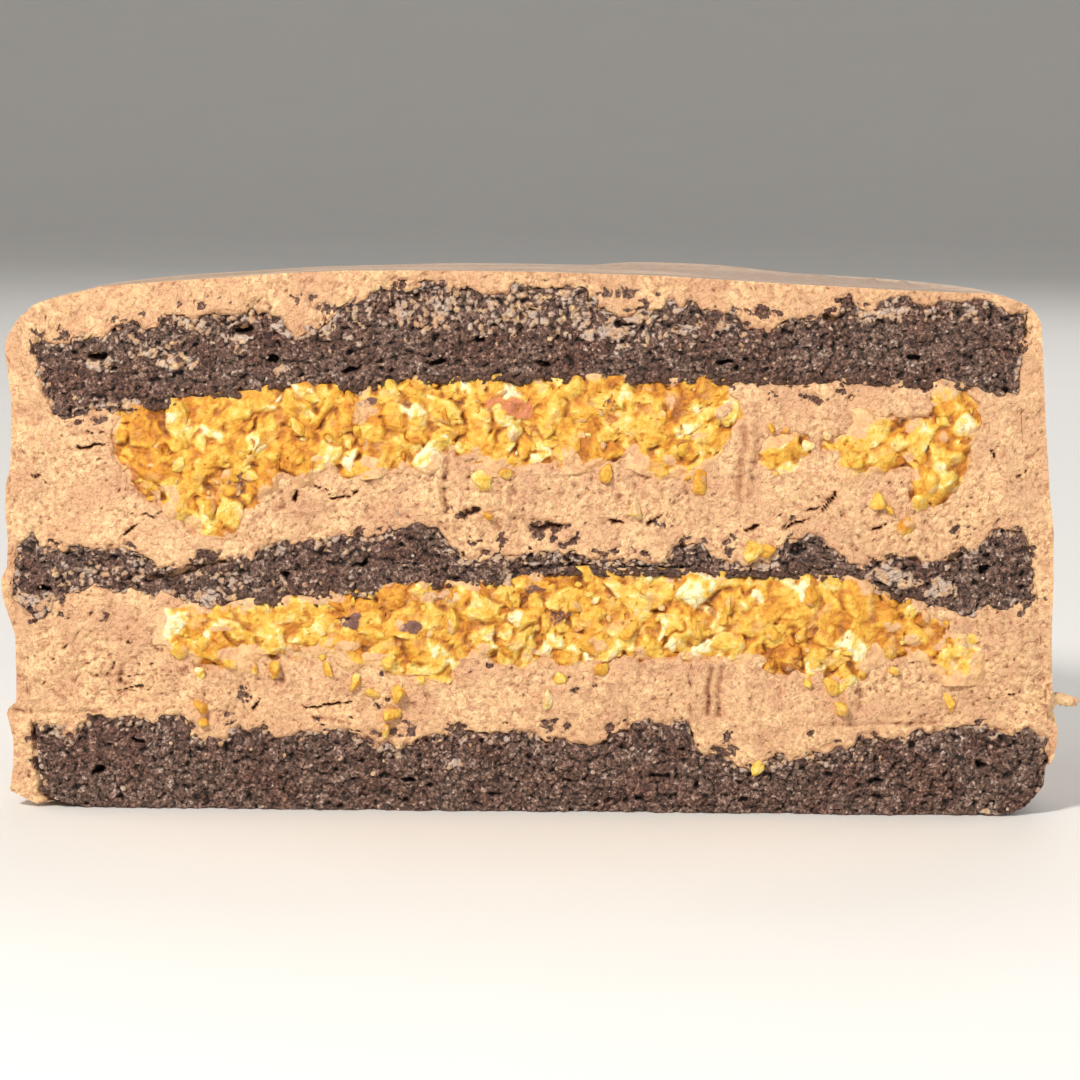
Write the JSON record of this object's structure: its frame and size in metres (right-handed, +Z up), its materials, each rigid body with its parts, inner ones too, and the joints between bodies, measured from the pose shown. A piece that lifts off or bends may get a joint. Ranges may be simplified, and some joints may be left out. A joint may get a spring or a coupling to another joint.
{
  "type": "half layer cake",
  "caption": "Half of a round chocolate layer cake, cut through the middle, with dark sponge, nut crunch and milk chocolate cream showing at the cut and a smooth cream coat round the back.",
  "frame": {"origin": "middle of the bounding box at the base the cake stands on", "axes": "+X along the straight cut, -Y out of the cut face, +Y towards the round back, +Z up"},
  "size_m": [0.1736, 0.0866, 0.087],
  "materials": {
    "chocolate_sponge": "moist open crumb, matt with small glints",
    "milk_chocolate_cream": "smooth whipped cream, satin",
    "nut_crunch": "broken nuts and caramel flakes, satin"
  },
  "bodies": {
    "root": {"sponge_bottom": "chocolate_sponge", "sponge_middle": "chocolate_sponge", "sponge_top": "chocolate_sponge", "cream_lower": "milk_chocolate_cream", "cream_upper": "milk_chocolate_cream", "crunch_lower": "nut_crunch", "crunch_upper": "nut_crunch", "coat": "milk_chocolate_cream"}
  },
  "joints": []
}
